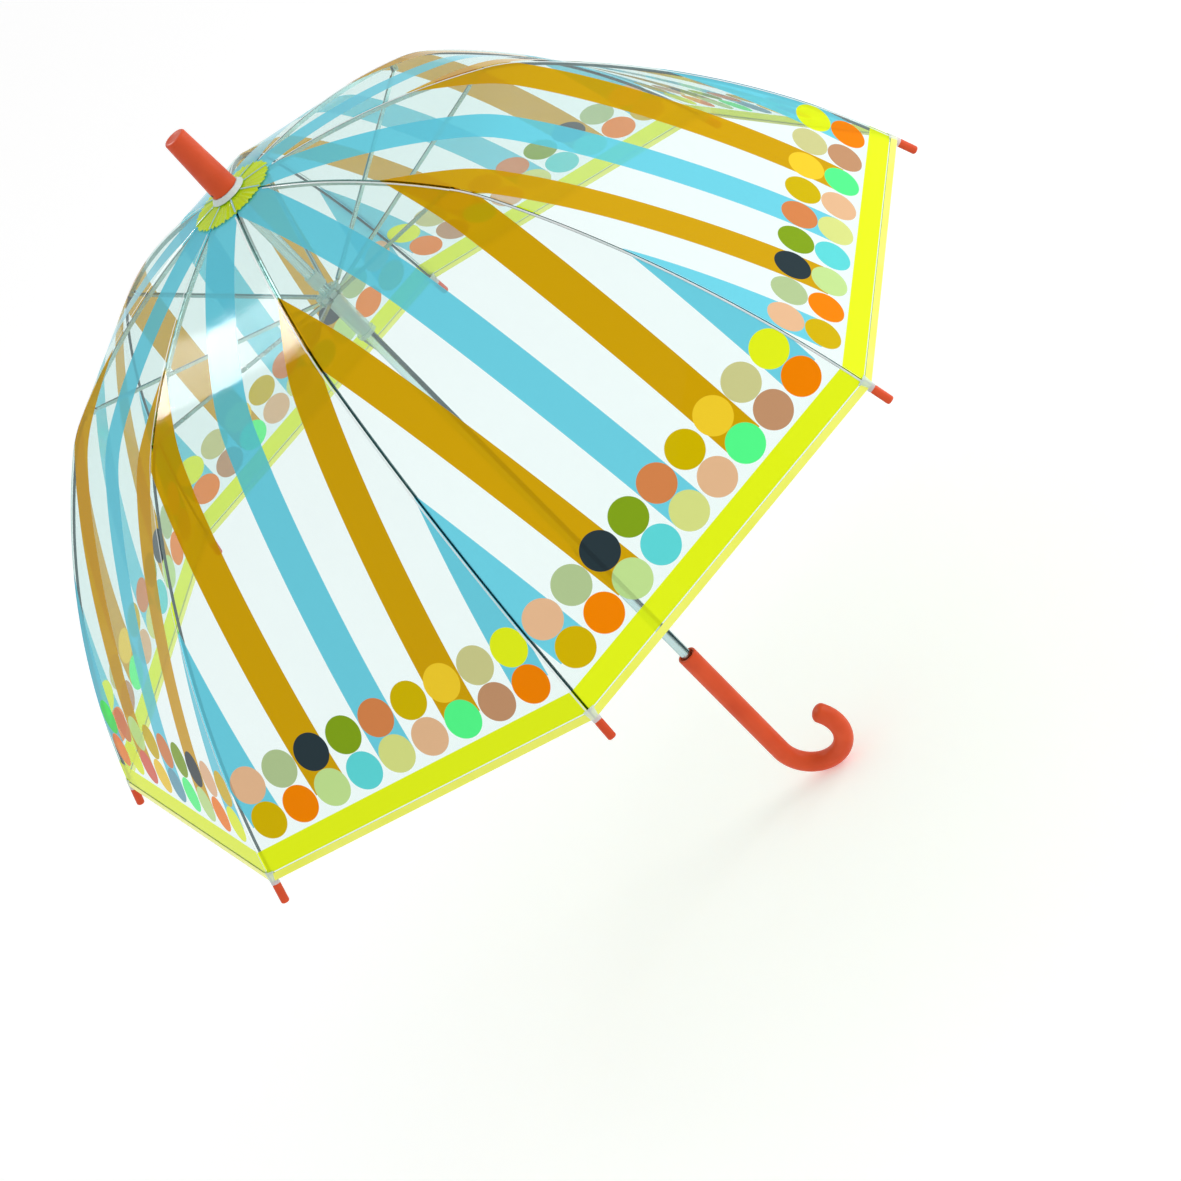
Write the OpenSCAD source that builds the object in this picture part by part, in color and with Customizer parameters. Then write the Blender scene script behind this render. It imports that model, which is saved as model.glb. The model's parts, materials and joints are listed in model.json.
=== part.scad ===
// Children's dome umbrella: clear film canopy on eight two-part ribs, a sliding runner
// with eight struts, a tubular shaft with two spring catches, and a crook handle.
// The shaft stands along +Z with the canopy up. The crook bends towards +X.
// The origin is in the middle of the handle's straight grip. It is drawn open.

/* [Canopy ribs] */
// Length along the canopy from the crown to the elastic knee of a rib
rib_upper_len = 178; // [140:1:230]
// Length along the canopy from the knee to the rim corner
rib_lower_len = 292; // [220:1:360]
// Length of the tight bend just beyond the knee
knee_bend_len = 30; // [20:1:60]
// Slope of the canopy below the horizontal at the crown, in degrees
slope_crown = 5; // [2:0.5:10]
// Slope of the canopy at the knee, in degrees
slope_knee = 27; // [22:0.5:30]
// Slope of the canopy just past the tight bend, in degrees
slope_bend = 42.5; // [38:0.5:48]
// Slope of the canopy at the rim, in degrees
slope_rim = 68; // [58:0.5:75]
// Width of the upper rib channel
channel_w = 2.7; // [2.4:0.1:3.4]
// Height of the upper rib channel
channel_h = 2.4; // [2:0.1:3]
// Wall of the rib and strut channels
channel_wall = 0.45; // [0.35:0.05:0.6]
// Diameter of the lower rib rod
rod_d = 2.0; // [1.6:0.1:2.4]
// Diameter of the moulded cap on each rib end
tip_d = 5.8; // [4.8:0.1:7]
// Length of the moulded cap on each rib end
tip_len = 16; // [12:1:20]
// Length of rod that each cap grips
tip_grip = 6; // [4:0.5:8]

/* [Film] */
// Thickness of the clear canopy film
film_t = 0.3; // [0.2:0.05:0.5]
// Gap between the film and the top of the ribs
film_gap = 0.8; // [0.5:0.1:1.2]
// Gap kept between neighbouring film gores
gore_gap = 0.3; // [0.2:0.05:0.6]
// Radius of the pinked rosette that covers the middle of the canopy
rosette_r = 32; // [26:1:38]

/* [Struts and runner] */
// Distance along the canopy from each strut joint to the knee
strut_back = 7; // [6:0.5:30]
// Depth of the strut joint below the rib channel
hinge_drop = 2.3; // [2:0.1:3]
// Width of a strut channel
strut_w = 2.4; // [2.2:0.1:3.2]
// Height of a strut channel
strut_h = 2.2; // [1.8:0.1:2.6]
// Distance from the shaft's surface to the pivots in the crown and in the runner
pivot_out = 3.5; // [3.1:0.1:5]
// Diameter of the binding wires that are the pivots
wire_d = 0.9; // [0.8:0.1:1.1]
// Thickness of the flattened eye ends
eye_t = 1.2; // [1:0.1:1.4]
// Outer diameter of the flattened eye ends
eye_d = 3.0; // [2.5:0.1:3.6]
// Length of the runner's barrel below its pivot ring
runner_len = 38; // [32:1:48]
// Wall of the runner's barrel
runner_wall = 1.9; // [1.5:0.1:3]

/* [Shaft and handle] */
// Outer diameter of the shaft tube
shaft_d = 8; // [6.6:0.1:9.6]
// Wall of the shaft tube
shaft_wall = 0.7; // [0.5:0.05:1]
// Free length of shaft from the handle to the crown's pivots
shaft_free = 481; // [400:1:580]
// Running clearance between the shaft and what slides on it, on the radius
slide_gap = 0.1; // [0.05:0.05:0.2]
// Length of the handle's straight grip
grip_len = 112; // [90:1:140]
// Outer diameter of the handle
handle_d = 14.7; // [12.2:0.1:18]
// Bend radius of the crook at the middle of the handle's tube
crook_r = 25.5; // [19:0.5:32]
// Angle that the crook turns through, in degrees
crook_turn = 215; // [185:5:225]
// Height of the clear washer between the rosette and the ferrule
washer_t = 3.4; // [1.6:0.1:5]
// Length of the ferrule on top of the canopy
ferrule_len = 49; // [35:1:70]
// Ferrule diameter at the canopy
ferrule_base_d = 20; // [17:0.5:24]
// Ferrule diameter at the top
ferrule_top_d = 16.4; // [13.6:0.1:19]

/* [Hidden] */
ribs = 8;
pitch = 360 / ribs;

handle_top = grip_len / 2;
crown_z = handle_top + shaft_free;      // height of the crown's pivot circle
shaft_r = shaft_d / 2;
pivot_r = shaft_r + pivot_out;
hub_rise = eye_d / 2 + 0.4;             // height of the hubs on the side that has no ribs
film_start = [shaft_r + 4, crown_z + hub_rise + 0.5]; // radius and height where the film's line starts
channel_mid = film_gap + channel_h / 2; // depth of the rib's middle below the film

// A stretch of the canopy's line is [start, slope at start, slope at end, length].
function radians(a) = a * PI / 180;
function curve_r(s) = s[3] / radians(s[2] - s[1]);
function along(s, part) =
    let (a = s[1] + (s[2] - s[1]) * part)
    s[0] + curve_r(s) * [sin(a) - sin(s[1]), cos(a) - cos(s[1])];
function slope(s, part) = s[1] + (s[2] - s[1]) * part;
function below(s, part, depth) =
    along(s, part) - depth * [sin(slope(s, part)), cos(slope(s, part))];
upper = [film_start, slope_crown, slope_knee, rib_upper_len];
bend = [along(upper, 1), slope_knee, slope_bend, knee_bend_len];
lower = [along(bend, 1), slope_bend, slope_rim, rib_lower_len - knee_bend_len];

strut_part = 1 - strut_back / rib_upper_len;
strut_drop = film_gap + channel_h + hinge_drop;
strut_joint = below(upper, strut_part, strut_drop);
rib_pivot = [pivot_r, crown_z];
runner_pivot = [pivot_r, 2 * strut_joint.y - crown_z]; // equal links above and below the joint
runner_z = runner_pivot.y;
strut_len = norm(strut_joint - runner_pivot);
strut_rise = atan2(strut_joint.y - runner_z, strut_joint.x - pivot_r);
travel = 2 * sqrt(strut_len ^ 2 - 9 ^ 2) - (crown_z - runner_z); // closed links stand 9 mm off
knee = below(upper, 1, channel_mid);
tip_gap = 0.4;                  // between the film's rim and the caps on the rib ends
tip_part = 1 + tip_gap / lower[3];
grip_part = tip_part + tip_grip / lower[3];
rod_draw = 0.1;                 // the rod is this much thinner beyond its bend
rod_lap = 0.6;                  // and its two lengths overlap by this

pin_d = 1.6;            // rivet through each strut joint
pin_gap = 0.05;         // its radial clearance in the strut's eye
wire_gap = 0.1;         // radial clearance of an eye on its binding wire
hub_r = pivot_r + eye_d / 2 + 0.5; // rim of the crown and of the runner's flange
slot_w = eye_t + 0.6;   // radial slots that hold the eyes
slot_r = pivot_r - eye_d / 2 - 0.4;
hub_drop = 4;           // height of the hubs on the side that the ribs or struts swing to
runner_d = shaft_d + 2 * (slide_gap + runner_wall);
knuckle_d = rod_d + 1.2; // rolled end of the rod at the knee
flat_start = 6;         // length of a flattened end, before the channel starts
catch_t = 1.2;          // thickness of the catches' spring steel
catch_len = 24;         // height of a catch
catch_out = 2.6;        // how far a catch stands out of the shaft
catch_slot = [catch_t + 0.4, catch_len + 1.5];
top_catch_z = runner_z - runner_len - 0.4;              // the open runner rests here
bottom_catch_z = runner_z - travel - runner_len + 8;    // and the closed runner is held here
shaft_bottom = handle_top - 0.75 * grip_len;
ferrule_z = film_start.y + 1.6 + washer_t;
shaft_top = ferrule_z + 0.67 * ferrule_len;
socket_d = shaft_d + 0.42 * (handle_d - shaft_d); // countersunk mouth of the handle's socket
arc_fn = 360;
round_fn = 64;
small_fn = 24;
steel = [0.72, 0.74, 0.76];
orange = [0.90, 0.36, 0.23];
clear = [0.9, 0.97, 0.98, 0.4];
lime = [0.85, 0.94, 0.1];

// Sweeps a section along a stretch of the canopy's line, in the XZ plane. The section's
// X is the height above the line.
module along_stretch(s) {
    r = curve_r(s);
    translate([s[0].x - r * sin(s[1]), 0, s[0].y - r * cos(s[1])])
        rotate([90, 0, 0])
            rotate(90 - s[2])
                rotate_extrude(angle = s[2] - s[1], $fn = arc_fn)
                    translate([r, 0])
                        children();
}

// Part of a stretch, between two shares of its length.
function piece(s, from, to) =
    [along(s, from), slope(s, from), slope(s, to), s[3] * (to - from)];

// Channel section, open downwards, with its middle at height h.
module channel_2d(h, w, tall, wall) {
    translate([h, 0])
        difference() {
            square([tall, w], center = true);
            translate([-wall, 0]) square([tall, w - 2 * wall], center = true);
        }
}

// A short bar in the XZ plane from a to b, with thickness t across and height h.
module flat_bar(a, b, t, h) {
    d = b - a;
    translate([a.x, 0, a.y])
        rotate([0, -atan2(d.y, d.x), 0])
            translate([0, -t / 2, -h / 2]) cube([norm(d), t, h]);
}

module cross_cylinder(p, d, w) {
    translate([p.x, 0, p.y]) rotate([90, 0, 0]) cylinder(d = d, h = w, center = true, $fn = small_fn);
}

module ring(r, d) {
    rotate_extrude($fn = round_fn) translate([r, 0]) circle(d = d, $fn = small_fn);
}

module tube(d, bore, z0, z1) {
    translate([0, 0, z0])
        difference() {
            cylinder(d = d, h = z1 - z0, $fn = round_fn);
            translate([0, 0, -1]) cylinder(d = bore, h = z1 - z0 + 2, $fn = round_fn);
        }
}

// Turns a piece drawn in the XZ plane to rib i, or to the gore that follows rib i.
module at_rib(i) { rotate((i - 0.5) * pitch) children(); }
module at_gore(i) { rotate(i * pitch) children(); }

// Upper rib: pressed channel with a flattened eye for the crown wire, and the two ears
// and the rivet of the strut joint.
module rib_upper(i) color(steel) at_rib(i) {
    first = flat_start / rib_upper_len;
    last = 1 - (knuckle_d / 2 + 0.3) / rib_upper_len;
    start = below(upper, first, channel_mid);
    difference() {
        union() {
            along_stretch(piece(upper, first, last))
                channel_2d(-channel_mid, channel_w, channel_h, channel_wall);
            flat_bar(rib_pivot, start + [1.5, 0], eye_t, 1.8);
            cross_cylinder(rib_pivot, eye_d, eye_t);
        }
        cross_cylinder(rib_pivot, wire_d + 2 * wire_gap, 2 * eye_t);
    }
    ear_t = 0.5;
    for (side = [-1, 1])
        translate([strut_joint.x, side * (channel_w / 2 - ear_t / 2 + 0.3), strut_joint.y])
            rotate([0, slope(upper, strut_part), 0])
                translate([-2, -ear_t / 2, -1.9])
                    cube([4, ear_t, strut_drop - film_gap + 1.9 - 0.6]);
    cross_cylinder(strut_joint, pin_d, channel_w + 1.6);
}

// A length of the sprung rod, along a stretch.
module rod(s, d) along_stretch(s) translate([-channel_mid, 0]) circle(d = d, $fn = small_fn);

// Lower rib: sprung rod that runs on from the knee, past the rim and into the cap. It is
// drawn a little thinner beyond the bend.
module rib_lower(i) color(steel) at_rib(i) {
    rod(bend, rod_d);
    rod(piece(lower, -rod_lap / lower[3], grip_part), rod_d - rod_draw);
    cross_cylinder(knee, knuckle_d, channel_w);
}

// Moulded cap that grips the rib's end and holds the corner of the film.
module rib_tip(i) color(orange) at_rib(i) difference() {
    start = below(lower, tip_part, channel_mid);
    translate([start.x, 0, start.y])
        rotate([0, 90 + slope_rim, 0])
            rotate_extrude($fn = 32)
                polygon([[0, 0], [tip_d / 2 - 0.4, 0], [tip_d / 2, 3], [tip_d / 2, tip_len - 1.2],
                    [tip_d / 2 - 0.4, tip_len - 0.4], [tip_d / 2 - 0.9, tip_len], [0, tip_len]]);
    rod(piece(lower, 0.99, grip_part), rod_d - rod_draw);
}

// Strut: channel with a flattened eye at each end.
module strut(i) color(steel) at_rib(i) {
    translate([runner_pivot.x, 0, runner_pivot.y])
        rotate([0, -strut_rise, 0])
            difference() {
                union() {
                    translate([flat_start, 0, 0])
                        rotate([90, 0, 90])
                            linear_extrude(strut_len - 2 * flat_start)
                                rotate(90) channel_2d(0, strut_w, strut_h, channel_wall);
                    translate([0, -eye_t / 2, -0.9]) cube([strut_len, eye_t, 1.8]);
                    for (x = [0, strut_len])
                        cross_cylinder([x, 0], eye_d, eye_t);
                }
                cross_cylinder([0, 0], wire_d + 2 * wire_gap, 2 * eye_t);
                cross_cylinder([strut_len, 0], pin_d + 2 * pin_gap, 2 * eye_t);
            }
}

// One gore's film over a list of [stretch, share] stations, flat between its two ribs.
module film(stations) {
    n = len(stations);
    side = tan(pitch / 2);
    function corner(q, up, flank) =
        let (p = below(q[0], q[1], -up * film_t), mid = p.x * cos(pitch / 2))
        [mid, flank * (mid * side - gore_gap), p.y];
    points = [for (q = stations) each
        [corner(q, 0, -1), corner(q, 0, 1), corner(q, 1, 1), corner(q, 1, -1)]];
    walls = [for (k = [0:n - 2], e = [0:3])
        let (a = 4 * k + e, b = 4 * k + (e + 1) % 4)
        each [[a, a + 4, b], [b, a + 4, b + 4]]];
    caps = [[0, 1, 2], [0, 2, 3], [4 * n - 1, 4 * n - 2, 4 * n - 3], [4 * n - 1, 4 * n - 3, 4 * n - 4]];
    polyhedron(points, concat(walls, caps));
}

module gore_upper(i) color(clear) at_gore(i)
    film([for (k = [0:6]) [upper, 0.01 + (0.99 - 0.0006) * k / 6]]);

module gore_lower(i) color(clear) at_gore(i)
    film(concat([for (k = [0:2]) [bend, 0.004 + (0.996) * k / 3]], [for (k = [0:9]) [lower, k / 9]]));

// Shaft: steel tube with a slot for each catch.
module shaft() color(steel) difference() {
    tube(shaft_d, shaft_d - 2 * shaft_wall, shaft_bottom, shaft_top);
    for (z = [top_catch_z - catch_slot.y + 0.4, bottom_catch_z - 0.8])
        translate([-shaft_d, -catch_slot.x / 2, z]) cube([shaft_d, catch_slot.x, catch_slot.y]);
}

// A catch: spring steel blade with a square shoulder, a ramp, and a tail inside the tube.
module catch_blade() {
    inner = shaft_r - shaft_wall - 0.3;
    translate([0, catch_t / 2, 0])
        rotate([90, 0, 0])
            linear_extrude(catch_t)
                polygon([[inner - 2.2, 0], [-shaft_r - catch_out, 0], [-shaft_r - catch_out, -3],
                    [-inner, -catch_len + 4], [-inner, -catch_len], [inner - 2.2, -catch_len]]);
}

module top_catch() color(steel) translate([0, 0, top_catch_z]) catch_blade();
module bottom_catch() color(steel) translate([0, 0, bottom_catch_z]) mirror([0, 0, 1]) catch_blade();

// A hub with radial slots and a groove for the binding wire. up is the side of the slots' floor.
module hub(up) {
    difference() {
        translate([0, 0, up > 0 ? -hub_rise : -hub_drop])
            cylinder(r = hub_r, h = hub_rise + hub_drop, $fn = round_fn);
        for (i = [1:ribs])
            at_rib(i)
                translate([slot_r, -slot_w / 2, up > 0 ? -hub_rise + 0.3 : -hub_drop - 1])
                    cube([hub_r, slot_w, hub_rise + hub_drop + 0.7]);
        rotate_extrude($fn = round_fn)
            translate([pivot_r - wire_d / 2, -wire_d / 2]) square([hub_r, wire_d]);
    }
}

module crown() color("whitesmoke") translate([0, 0, crown_z]) difference() {
    hub(-1);
    translate([0, 0, -10]) cylinder(d = shaft_d, h = 20, $fn = round_fn);
}

module crown_wire() color(steel) translate([0, 0, crown_z]) ring(pivot_r, wire_d);

// Runner: slotted flange, and a barrel with a window for the bottom catch.
module runner() color("whitesmoke") translate([0, 0, runner_z]) difference() {
    union() {
        hub(1);
        translate([0, 0, -runner_len])
            cylinder(d = runner_d, h = runner_len - 1, $fn = round_fn);
        translate([0, 0, -runner_len])
            cylinder(d = runner_d + 2, h = 3, $fn = round_fn);
    }
    translate([0, 0, -runner_len - 1])
        cylinder(r = shaft_r + slide_gap, h = runner_len + 10, $fn = round_fn);
    translate([-runner_d, -slot_w / 2, -runner_len + 7])
        cube([runner_d, slot_w, catch_len - 4]);
}

module runner_wire() color(steel) translate([0, 0, runner_z]) ring(pivot_r, wire_d);

// Sleeve on the shaft that stops the runner before the struts go past flat.
module stop_sleeve() color("whitesmoke")
    tube(shaft_d + 2.4, shaft_d, runner_z + hub_drop + 6, runner_z + hub_drop + 16);

// Rosette: pinked disc of film on top of the gores, under the washer.
module rosette() color(lime) {
    teeth = 56;
    lift = film_t + 0.35;
    intersection() {
        rotate_extrude($fn = round_fn)
            polygon([
                [shaft_r, film_start.y + lift + 0.4],
                [film_start.x, film_start.y + lift + 0.4],
                for (k = [0:4]) below(upper, k / 4 * rosette_r / rib_upper_len, -lift),
                for (k = [4:-1:0]) below(upper, k / 4 * rosette_r / rib_upper_len, -lift - film_t),
                [film_start.x, film_start.y + lift + 0.7],
                [shaft_r, film_start.y + lift + 0.7]]);
        translate([0, 0, crown_z - 20])
            linear_extrude(60)
                polygon([for (k = [0:2 * teeth - 1])
                    (rosette_r - (k % 2) * 1.8) * [cos(k * 180 / teeth), sin(k * 180 / teeth)]]);
    }
}

// Washer: clear cone under the ferrule.
module washer() color(clear) translate([0, 0, ferrule_z - washer_t]) difference() {
    cylinder(d1 = ferrule_base_d + 6.5, d2 = ferrule_base_d + 1.5, h = washer_t, $fn = round_fn);
    translate([0, 0, -1]) cylinder(d = shaft_d, h = washer_t + 2, $fn = round_fn);
}

// Ferrule: tapered cap pressed on the shaft's top end, with a rounded top and a flat end.
module ferrule() color(orange) translate([0, 0, ferrule_z]) {
    round = 2;
    rb = ferrule_base_d / 2;
    rt = ferrule_top_d / 2;
    difference() {
        rotate_extrude($fn = round_fn)
            polygon([[0, 0], [rb - 0.8, 0], [rb, 0.8], [rt, ferrule_len - round],
                for (a = [15:15:90]) [rt - round + round * cos(a), ferrule_len - round + round * sin(a)],
                [0, ferrule_len]]);
        translate([0, 0, -1]) cylinder(d = shaft_d, h = shaft_top - ferrule_z + 1, $fn = round_fn);
    }
}

// Rounded end of the crook: a lathe profile that starts just inside the tube's end face.
module crook_end() {
    r = handle_d / 2 - 0.05;
    rotate_extrude($fn = round_fn)
        polygon([[0, -1], [r, -1], for (a = [0:15:75]) [r * cos(a), 0.7 * r * sin(a)], [0, 0.7 * r]]);
}

// Handle: moulded crook with a rounded rim and a socket for the shaft.
module handle() color(orange) difference() {
    union() {
        translate([0, 0, -handle_top]) cylinder(d = handle_d, h = grip_len - 1.6, $fn = round_fn);
        translate([0, 0, handle_top - 1.6])
            cylinder(d1 = handle_d, d2 = handle_d - 2, h = 1.6, $fn = round_fn);
        translate([crook_r, 0, -handle_top])
            rotate([90, 0, 0])
                rotate(180)
                    rotate_extrude(angle = crook_turn, $fn = round_fn * 2)
                        translate([crook_r, 0]) circle(d = handle_d, $fn = round_fn);
        translate([crook_r, 0, -handle_top])
            rotate([0, 180 - crook_turn, 0])
                translate([crook_r, 0, 0])
                    crook_end();
    }
    translate([0, 0, shaft_bottom]) cylinder(d = shaft_d, h = grip_len, $fn = round_fn);
    translate([0, 0, handle_top - 2.5]) cylinder(d = socket_d, h = 5, $fn = round_fn);
}

shaft();
ferrule();
washer();
rosette();
crown();
crown_wire();
stop_sleeve();
runner();
runner_wire();
top_catch();
bottom_catch();
handle();
for (i = [1:ribs]) {
    rib_upper(i);
    rib_lower(i);
    rib_tip(i);
    strut(i);
    gore_upper(i);
    gore_lower(i);
}
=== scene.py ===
# %% [markdown]
# # A children's dome umbrella in clear film
# The metal frame arrives finished from the engineering model. This lesson adds what the eye
# sees first: eight gores of clear vinyl printed with stripes and dots, the welds and hems
# that hold them, and the orange moulded parts. Every piece rides on a body of the frame, so
# the umbrella still folds when the lesson is over.

# %% Load the frame
import json
import math

import bpy
from mathutils import Matrix, Quaternion, Vector


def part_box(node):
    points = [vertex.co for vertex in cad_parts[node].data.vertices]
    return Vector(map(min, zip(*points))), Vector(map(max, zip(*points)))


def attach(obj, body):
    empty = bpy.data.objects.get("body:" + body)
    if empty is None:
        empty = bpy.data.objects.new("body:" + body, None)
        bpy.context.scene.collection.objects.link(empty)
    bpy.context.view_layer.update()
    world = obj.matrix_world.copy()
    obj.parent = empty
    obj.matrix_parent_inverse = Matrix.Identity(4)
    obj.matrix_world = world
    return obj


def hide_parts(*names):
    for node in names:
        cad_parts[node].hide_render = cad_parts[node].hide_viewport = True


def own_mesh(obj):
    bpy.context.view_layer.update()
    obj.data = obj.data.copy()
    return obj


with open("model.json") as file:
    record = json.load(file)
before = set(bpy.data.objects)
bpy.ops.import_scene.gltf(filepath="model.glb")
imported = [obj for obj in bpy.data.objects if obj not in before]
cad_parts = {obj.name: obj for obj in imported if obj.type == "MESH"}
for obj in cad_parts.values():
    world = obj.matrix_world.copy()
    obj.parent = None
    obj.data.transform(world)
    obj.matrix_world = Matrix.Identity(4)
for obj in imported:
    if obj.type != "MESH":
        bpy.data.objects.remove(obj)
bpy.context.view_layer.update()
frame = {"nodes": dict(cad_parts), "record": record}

MM = 0.001
RIBS = 8
PITCH = 2 * math.pi / RIBS

# %% [markdown]
# ## The camera
# An umbrella that lies on its side can be drawn upright and seen by a camera that is rolled
# by 45 degrees. That keeps the shaft on the Z axis, which makes everything else easy to
# place. A long lens from over two metres keeps the dome's ellipse calm.

# %% Camera
CAMERA_TURN = math.radians(33.72)
CAMERA_RISE = math.radians(27.16)
CAMERA_ROLL = math.radians(44.92)
CAMERA_DISTANCE = 2.375
CAMERA_AIM = Vector((0.018, -0.056, 0.176))
CAMERA_LENS = 105.6

outward = Vector((math.sin(CAMERA_TURN) * math.cos(CAMERA_RISE),
                  -math.cos(CAMERA_TURN) * math.cos(CAMERA_RISE),
                  math.sin(CAMERA_RISE)))
camera_data = bpy.data.cameras.new("studio camera")
camera_data.lens = CAMERA_LENS
camera_data.clip_end = 50
camera = bpy.data.objects.new("studio camera", camera_data)
bpy.context.scene.collection.objects.link(camera)
level = (-outward).to_track_quat("-Z", "Y")
roll = Quaternion((0, 0, 1), -CAMERA_ROLL)
camera.matrix_world = Matrix.LocRotScale(CAMERA_AIM + CAMERA_DISTANCE * outward, level @ roll, None)
bpy.context.scene.camera = camera
picture_up = (level @ roll) @ Vector((0, 1, 0))
picture_right = (level @ roll) @ Vector((1, 0, 0))
print("camera at", [round(c, 3) for c in camera.location])

# %% [markdown]
# ## Floor and light
# A clear canopy is mostly reflections and what lies behind it, so the studio is white all
# round: a white world gives even light, and the floor is a light table that washes out most
# shadows. One large soft panel gives the plastics their bright side, and a small strong one
# is placed where the film mirrors it as a glint. Bright metal in a white room looks like
# paper, so a black card, seen by reflections alone, draws a dark line down the shaft. The
# standard view transform keeps the printed colours as the printer mixed them.

# %% Studio
FLOOR_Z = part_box("handle")[0].z - 1 * MM
FLOOR_SIZE = 24.0
FLOOR_WHITE = (0.97, 0.97, 0.97)
CARD_BLACK = (0.02, 0.05, 0.06)
WORLD_STRENGTH = 0.76
PANEL_POWER = 15.0
PANEL_SIZE = 1.4
GLINT_POWER = 60.0
GLINT_SIZE = 0.42
GLINT_FROM = Vector((-0.537, 0.25, 0.80))
GLINT_ON = Vector((0.015, -0.13, 0.51))
TABLE_GLOW = 0.24
CARD_TURN = math.radians(18.7)
CARD_AWAY = 0.20
CARD_Z = 0.14
CARD_SIZE = (0.44, 0.84)

scene = bpy.context.scene
scene.view_settings.view_transform = "Standard"
scene.cycles.transparent_max_bounces = 40
world = bpy.data.worlds.new("white studio")
world.use_nodes = True
world.node_tree.nodes["Background"].inputs["Color"].default_value = (1, 1, 1, 1)
world.node_tree.nodes["Background"].inputs["Strength"].default_value = WORLD_STRENGTH
scene.world = world


def soft_panel(name, place, aim, size, power):
    """Add a square light that faces a point."""
    data = bpy.data.lights.new(name, "AREA")
    data.size = size
    data.energy = power
    panel = bpy.data.objects.new(name, data)
    panel.matrix_world = Matrix.LocRotScale(place, (aim - place).to_track_quat("-Z", "Y"), None)
    scene.collection.objects.link(panel)
    return panel


def stage_card(name, matrix, colour, glow):
    """A flat card of one colour that isn't part of the umbrella."""
    bpy.ops.object.select_all(action="DESELECT")
    bpy.ops.mesh.primitive_plane_add(size=1)
    card = bpy.context.object
    card.name = name
    card.data.transform(matrix)
    coating = bpy.data.materials.new(name)
    coating.use_nodes = True
    shader = coating.node_tree.nodes["Principled BSDF"].inputs
    shader["Base Color"].default_value = (*colour, 1)
    shader["Roughness"].default_value = 0.9
    shader["Emission Color"].default_value = (*colour, 1)
    shader["Emission Strength"].default_value = glow
    card.data.materials.append(coating)
    return card


print("floor at", round(FLOOR_Z, 4))

# %% Lights and cards
dome_middle = Vector((0, 0, 0.40))
soft_panel("top panel", dome_middle + 1.7 * picture_up + 0.5 * outward + 1.3 * picture_right,
           dome_middle, PANEL_SIZE, PANEL_POWER)
glint = soft_panel("glint panel", GLINT_ON + 2.0 * GLINT_FROM, GLINT_ON, GLINT_SIZE, GLINT_POWER)
glint.visible_diffuse = glint.visible_camera = False
flat_below = Matrix.Translation((0, 0, FLOOR_Z)) @ Matrix.Scale(FLOOR_SIZE, 4)
stage_card("floor", flat_below, FLOOR_WHITE, TABLE_GLOW)
beside = Matrix.Rotation(CARD_TURN, 4, "Z") @ Matrix.Translation((CARD_AWAY, 0, CARD_Z))
upright = Matrix.Rotation(math.pi / 2, 4, "Y") @ Matrix.Diagonal((*CARD_SIZE, 1, 1))
black_card = stage_card("black card", beside @ upright, CARD_BLACK, 0.0)
black_card.visible_camera = black_card.visible_diffuse = black_card.visible_shadow = False
black_card.visible_transmission = False
print("lights:", [light.name for light in bpy.data.lights], "and a", black_card.name)

# %% [markdown]
# ## Shader helpers
# Blender mixes light in linear values, while a dye is easiest to name by its screen code, so
# `dye` converts one into the other. The other helpers add a node and set or link its inputs
# in one line, which keeps each material short enough to read.

# %% Shader helpers
def dye(code):
    """A screen colour such as 6ED2E5 as Blender's linear colour."""
    parts = [int(code[i:i + 2], 16) / 255 for i in (0, 2, 4)]
    return (*[p / 12.92 if p <= 0.04045 else ((p + 0.055) / 1.055) ** 2.4 for p in parts], 1.0)


def feed(tree, socket, value):
    """Link a socket to an input, or set the input to a plain value."""
    if isinstance(value, bpy.types.NodeSocket):
        tree.links.new(value, socket)
    else:
        socket.default_value = value


def put(tree, kind, settings=None, **inputs):
    """Add a node, with its own settings and its inputs by name."""
    made = tree.nodes.new(kind)
    for name, value in (settings or {}).items():
        setattr(made, name, value)
    for name, value in inputs.items():
        feed(tree, made.inputs[name.replace("_", " ")], value)
    return made


def calc(tree, operation, *values, clamp=False):
    """Add a Math node and return its result."""
    made = put(tree, "ShaderNodeMath", {"operation": operation, "use_clamp": clamp})
    for socket, value in zip(made.inputs, values):
        feed(tree, socket, value)
    return made.outputs[0]


def mix_colour(tree, share, low, high):
    """Blend two colours by a share."""
    made = put(tree, "ShaderNodeMix", {"data_type": "RGBA"})
    for place, value in ((0, share), (6, low), (7, high)):
        feed(tree, made.inputs[place], value)
    return made.outputs[2]


def spread(tree, value, low, high, to_low, to_high):
    """Map a value from one range into another, and hold it there."""
    made = put(tree, "ShaderNodeMapRange", Value=value, From_Min=low, From_Max=high,
               To_Min=to_low, To_Max=to_high)
    return made.outputs["Result"]


print("dye check, blue:", [round(c, 3) for c in dye("6ED2E5")])


# %% Group and material helpers
def new_group(name, inputs, outputs):
    """Start a node group with named float, colour or vector sockets."""
    tree = bpy.data.node_groups.new(name, "ShaderNodeTree")
    for way, sockets in (("INPUT", inputs), ("OUTPUT", outputs)):
        for socket, kind in sockets.items():
            tree.interface.new_socket(socket, in_out=way, socket_type="NodeSocket" + kind)
    return tree, tree.nodes.new("NodeGroupInput").outputs, tree.nodes.new("NodeGroupOutput").inputs


def use_group(tree, group, **inputs):
    """Place a group in a tree and return its outputs."""
    return put(tree, "ShaderNodeGroup", {"node_tree": group}, **inputs).outputs


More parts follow.
